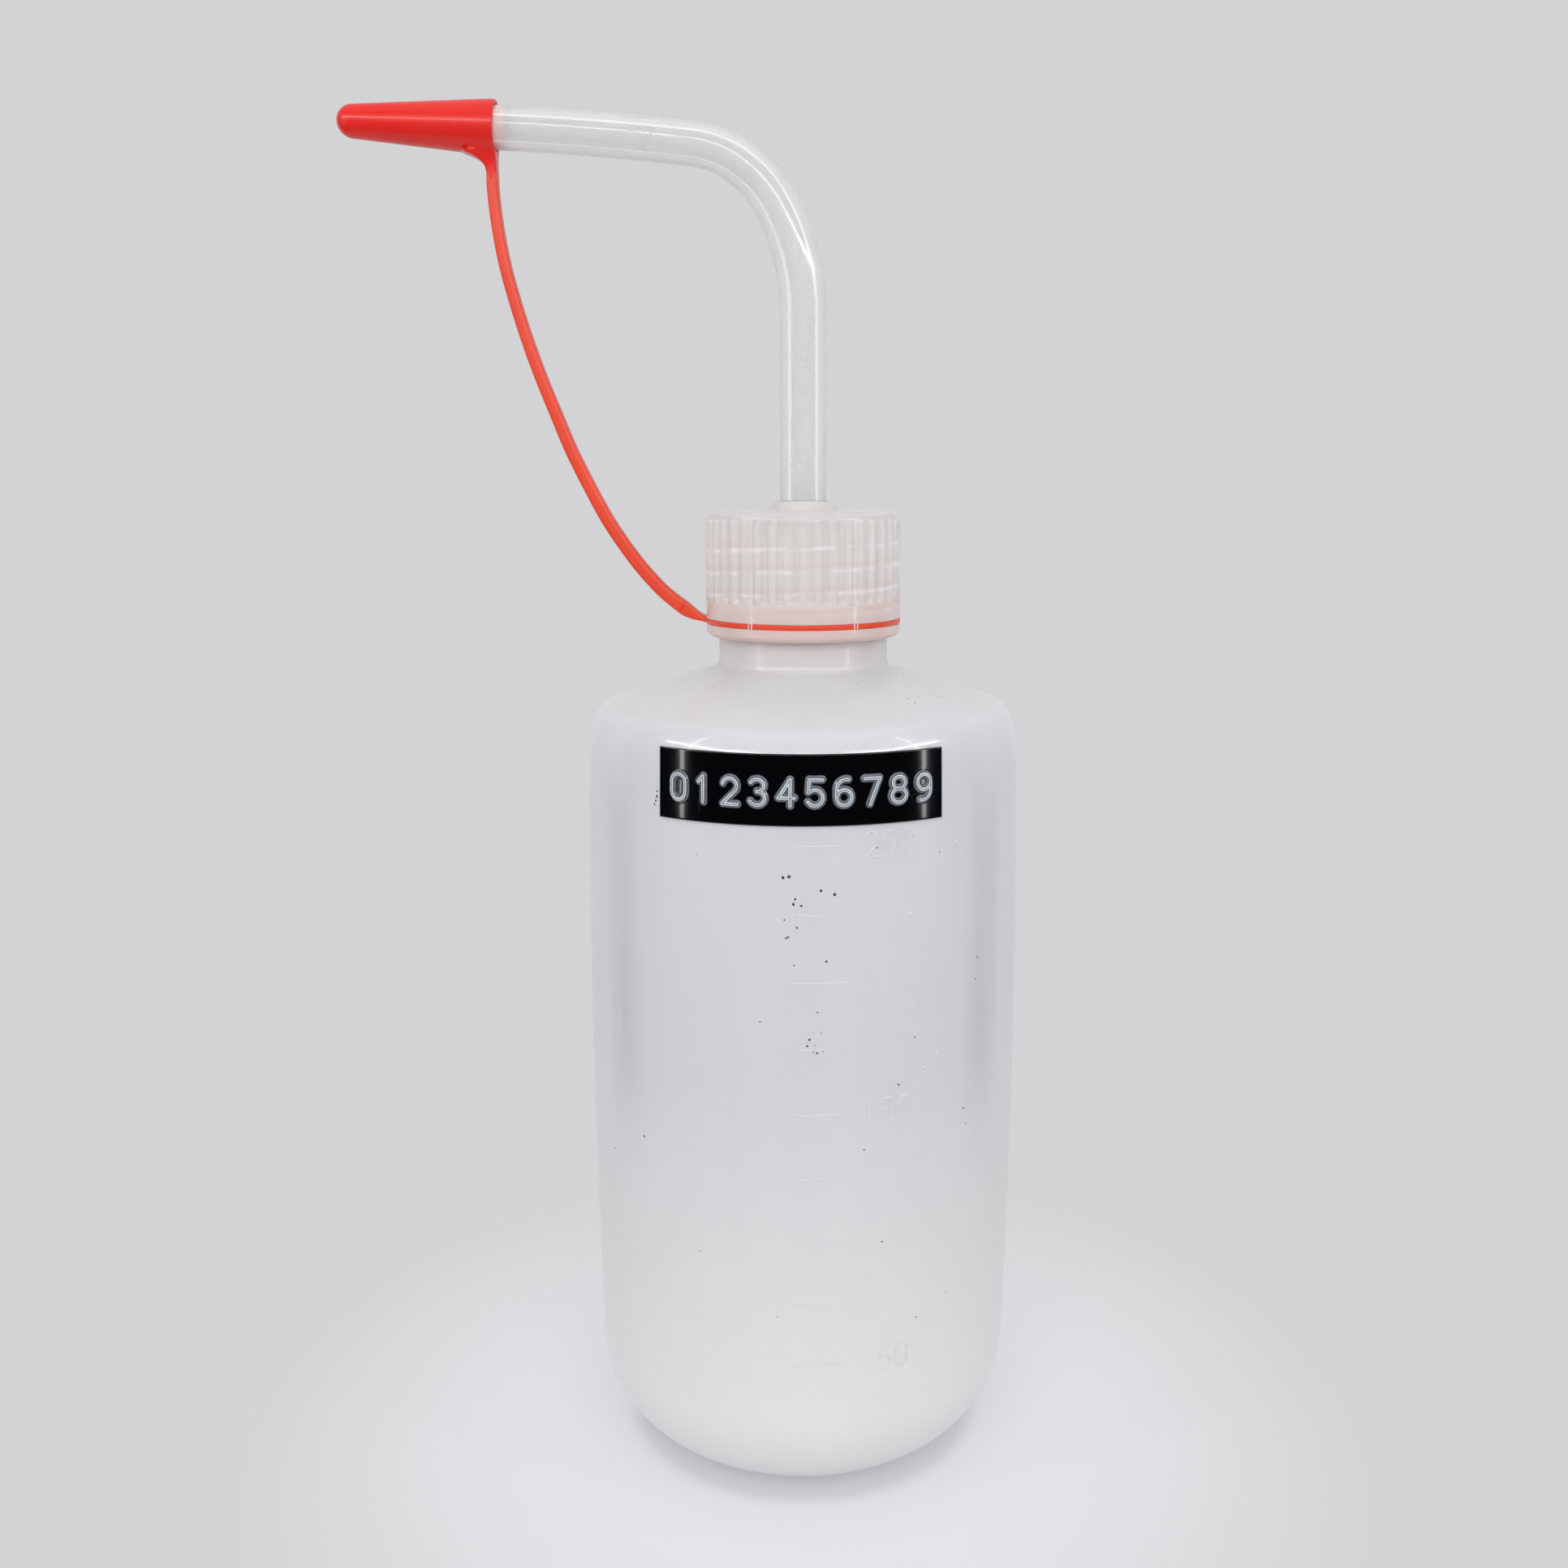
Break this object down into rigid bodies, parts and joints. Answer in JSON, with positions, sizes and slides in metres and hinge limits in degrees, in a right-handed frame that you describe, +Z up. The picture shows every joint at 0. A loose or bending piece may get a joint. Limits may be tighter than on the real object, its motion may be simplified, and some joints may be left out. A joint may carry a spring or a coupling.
{
  "type": "wash bottle",
  "caption": "Squeeze wash bottle with a ribbed screw cap, a bent swivelling spout, and a tapered tip cap on a strap tethered to a ring.",
  "frame": {"origin": "centre of the flat standing base, on the bottle's axis", "axes": "+Z up along the bottle's axis, the spout points to -X, the label faces -Y"},
  "size_m": [0.0918, 0.0612, 0.1874],
  "materials": {
    "frosted_bottle": "frosted translucent low-density polyethylene, milky and slightly waxy",
    "cloudy_cap": "cloudy translucent moulded polypropylene, satin gloss",
    "clear_tube": "clear, slightly hazy extruded tube",
    "white_liner": "soft white foamed polyethylene",
    "red_plastic": "saturated red moulded polyethylene, satin",
    "black_tape": "glossy black embossing tape with stress-whitened raised characters"
  },
  "bodies": {
    "bottle": {"bottle": "frosted_bottle", "label_tape": "black_tape"},
    "liner": {"cap_liner": "white_liner"},
    "cap": {"screw_cap": "cloudy_cap"},
    "spout": {"spout": "clear_tube", "dip_tube": "clear_tube"},
    "tether": {"tether_ring": "red_plastic", "tether_strap": "red_plastic"},
    "tip_cap": {"tip_cap": "red_plastic"}
  },
  "joints": [
    {"name": "cap_lift", "type": "slide", "parent": "bottle", "child": "liner", "axis": [0, 0, 1], "range_m": [0, 0.00675]},
    {"name": "cap_turn", "type": "hinge", "parent": "liner", "child": "cap", "pos_m": [0, 0, 0.125], "axis": [0, 0, 1], "range_deg": [0, 810]},
    {"name": "spout_swivel", "type": "hinge", "parent": "cap", "child": "spout", "pos_m": [0, 0, 0.1355], "axis": [0, 0, 1], "continuous": true},
    {"name": "ring_turn", "type": "hinge", "parent": "cap", "child": "tether", "pos_m": [0, 0, 0.11925], "axis": [0, 0, 1], "continuous": true},
    {"name": "tip_cap_pull", "type": "slide", "parent": "tether", "child": "tip_cap", "axis": [-0.9991, 0, 0.0419], "range_m": [0, 0.015], "deforming": ["tether_strap"]}
  ],
  "couplings": [
    {"joint": "cap_turn", "follows": "cap_lift", "rad_per_m": 2094.4},
    {"joint": "ring_turn", "follows": "spout_swivel", "ratio": 1}
  ]
}
